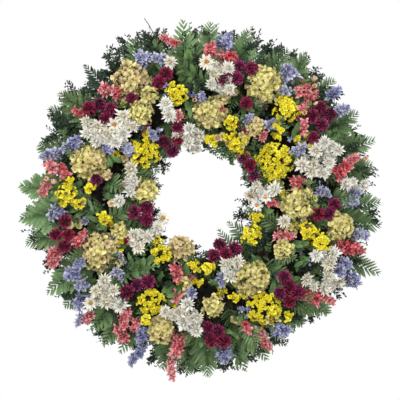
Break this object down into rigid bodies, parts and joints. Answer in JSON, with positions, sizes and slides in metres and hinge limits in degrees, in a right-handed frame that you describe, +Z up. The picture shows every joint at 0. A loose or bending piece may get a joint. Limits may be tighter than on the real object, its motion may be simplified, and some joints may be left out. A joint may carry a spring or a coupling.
{
  "type": "dried flower wreath",
  "caption": "Round dried-flower wreath on a box wire frame, with mixed flower heads, ferns and fine greens, and a folding wire loop at the back that hangs it on a nail.",
  "frame": {"origin": "the point where the nail bears inside the hanging loop, on the wreath's vertical centre line", "axes": "+Z up; -Y towards the viewer, the way the flowers face; +X to the viewer's right"},
  "size_m": [0.606, 0.1132, 0.6038],
  "materials": {
    "frame_wire": "dark green enamelled wire",
    "binding_wire": "thin green florist's wire",
    "loop_wire": "bright annealed wire",
    "bunch_foliage": "dried stalks and leaves, dark green and brown",
    "dark_foliage": "dried fine-leaved greens, very dark green",
    "fern": "preserved leatherleaf fern, mid green",
    "leaf": "dried leaves, grey green",
    "hydrangea": "dried hydrangea florets, straw and cream",
    "statice": "dried statice, bright yellow",
    "everlasting": "dried everlasting daisies, ivory with amber eyes",
    "amaranth": "dried globe amaranth, magenta and burgundy",
    "coral_larkspur": "dried larkspur, coral pink",
    "blue_larkspur": "dried larkspur, lavender blue",
    "buds": "dried buds, peach and cream"
  },
  "bodies": {
    "wreath": {"frame_ring_outer": "frame_wire", "frame_ring_inner": "frame_wire", "frame_ring_back_outer": "frame_wire", "frame_ring_back_inner": "frame_wire", "frame_cross_wires": "frame_wire", "binding_wires": "binding_wire", "foliage_bunches": "bunch_foliage", "dark_sprays_top_right": "dark_foliage", "dark_sprays_bottom_right": "dark_foliage", "dark_sprays_bottom_left": "dark_foliage", "dark_sprays_top_left": "dark_foliage", "dark_sprays_inner": "dark_foliage", "fern_fronds_top_right": "fern", "fern_fronds_bottom_right": "fern", "fern_fronds_bottom_left": "fern", "fern_fronds_top_left": "fern", "face_leaves": "leaf", "hydrangea_head_01": "hydrangea", "hydrangea_head_02": "hydrangea", "hydrangea_head_03": "hydrangea", "hydrangea_head_04": "hydrangea", "hydrangea_head_05": "hydrangea", "hydrangea_head_06": "hydrangea", "hydrangea_head_07": "hydrangea", "hydrangea_head_08": "hydrangea", "hydrangea_head_09": "hydrangea", "hydrangea_head_10": "hydrangea", "hydrangea_head_11": "hydrangea", "hydrangea_head_12": "hydrangea", "hydrangea_head_13": "hydrangea", "hydrangea_head_14": "hydrangea", "hydrangea_head_15": "hydrangea", "hydrangea_head_16": "hydrangea", "hydrangea_head_17": "hydrangea", "yellow_statice_top_right": "statice", "yellow_statice_bottom_right": "statice", "yellow_statice_bottom_left": "statice", "yellow_statice_top_left": "statice", "everlastings_top_right": "everlasting", "everlastings_bottom_right": "everlasting", "everlastings_bottom_left": "everlasting", "everlastings_top_left": "everlasting", "globe_amaranths_top_right": "amaranth", "globe_amaranths_bottom_right": "amaranth", "globe_amaranths_bottom_left": "amaranth", "globe_amaranths_top_left": "amaranth", "coral_larkspur_top_right": "coral_larkspur", "coral_larkspur_bottom_right": "coral_larkspur", "coral_larkspur_bottom_left": "coral_larkspur", "coral_larkspur_top_left": "coral_larkspur", "blue_larkspur_top_right": "blue_larkspur", "blue_larkspur_bottom_right": "blue_larkspur", "blue_larkspur_bottom_left": "blue_larkspur", "blue_larkspur_top_left": "blue_larkspur", "larkspur_buds": "buds"},
    "hanger": {"hanging_loop": "loop_wire"}
  },
  "joints": [
    {"name": "loop_fold", "type": "hinge", "parent": "wreath", "child": "hanger", "pos_m": [0, 0, -0.038], "axis": [-1, 0, 0], "range_deg": [-4, 118]}
  ]
}
